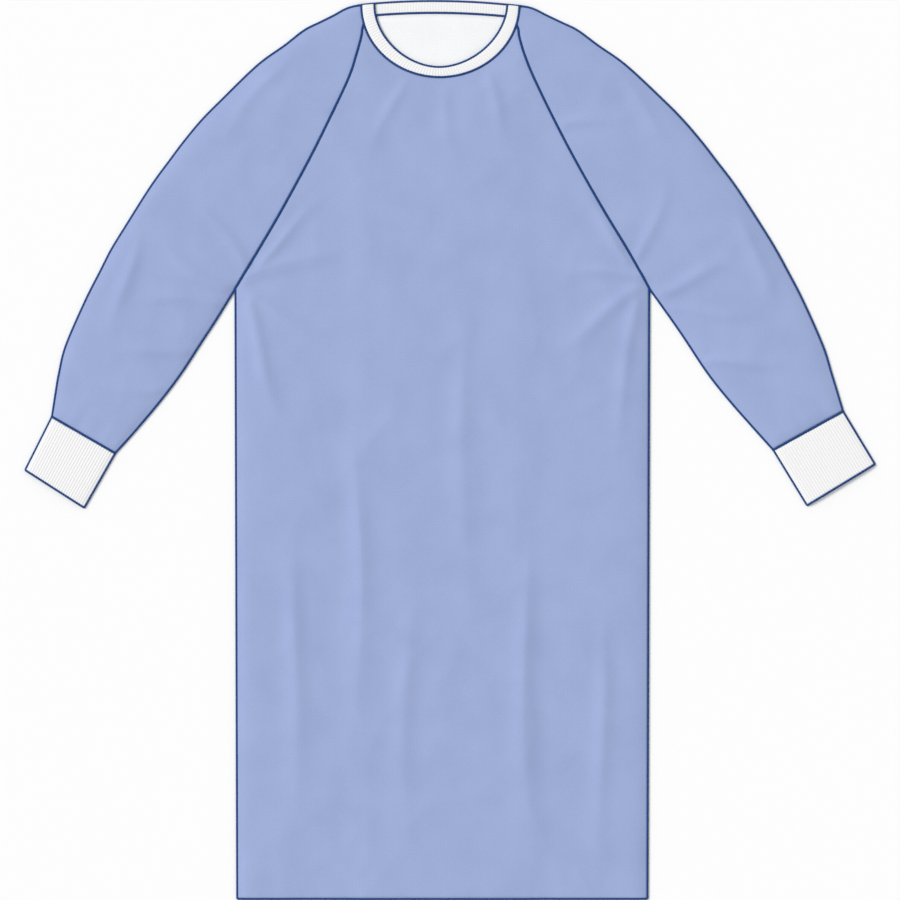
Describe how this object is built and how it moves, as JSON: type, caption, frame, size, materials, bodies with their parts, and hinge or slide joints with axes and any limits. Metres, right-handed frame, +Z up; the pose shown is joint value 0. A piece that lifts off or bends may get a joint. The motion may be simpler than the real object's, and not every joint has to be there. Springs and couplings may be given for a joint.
{
  "type": "surgical gown",
  "caption": "Long-sleeved surgical gown laid flat: raglan sleeves, lapped back, white rib neckband and rib cuffs.",
  "frame": {"origin": "on the surface that the gown lies on, on the centre line of the body, halfway between the top of the neck and the hem", "axes": "+Y towards the neck, +X towards the right of the picture, which is the wearer's left, and +Z up from the surface through the back to the front"},
  "size_m": [1.2057, 1.274, 0.0052],
  "materials": {
    "gown_cloth": "ceil blue nonwoven, matt with a faint sheen, white on its inner face",
    "rib_knit": "white one-by-one rib knit, matt",
    "seam_thread": "dark blue polyester thread, slight gloss"
  },
  "bodies": {
    "root": {"front_panel": "gown_cloth", "back_panel_outer": "gown_cloth", "back_panel_inner": "gown_cloth", "sleeve_left_front": "gown_cloth", "sleeve_left_back": "gown_cloth", "sleeve_right_front": "gown_cloth", "sleeve_right_back": "gown_cloth", "neckband_front": "rib_knit", "neckband_back_outer": "rib_knit", "neckband_back_inner": "rib_knit", "cuff_left": "rib_knit", "cuff_right": "rib_knit"}
  },
  "joints": []
}
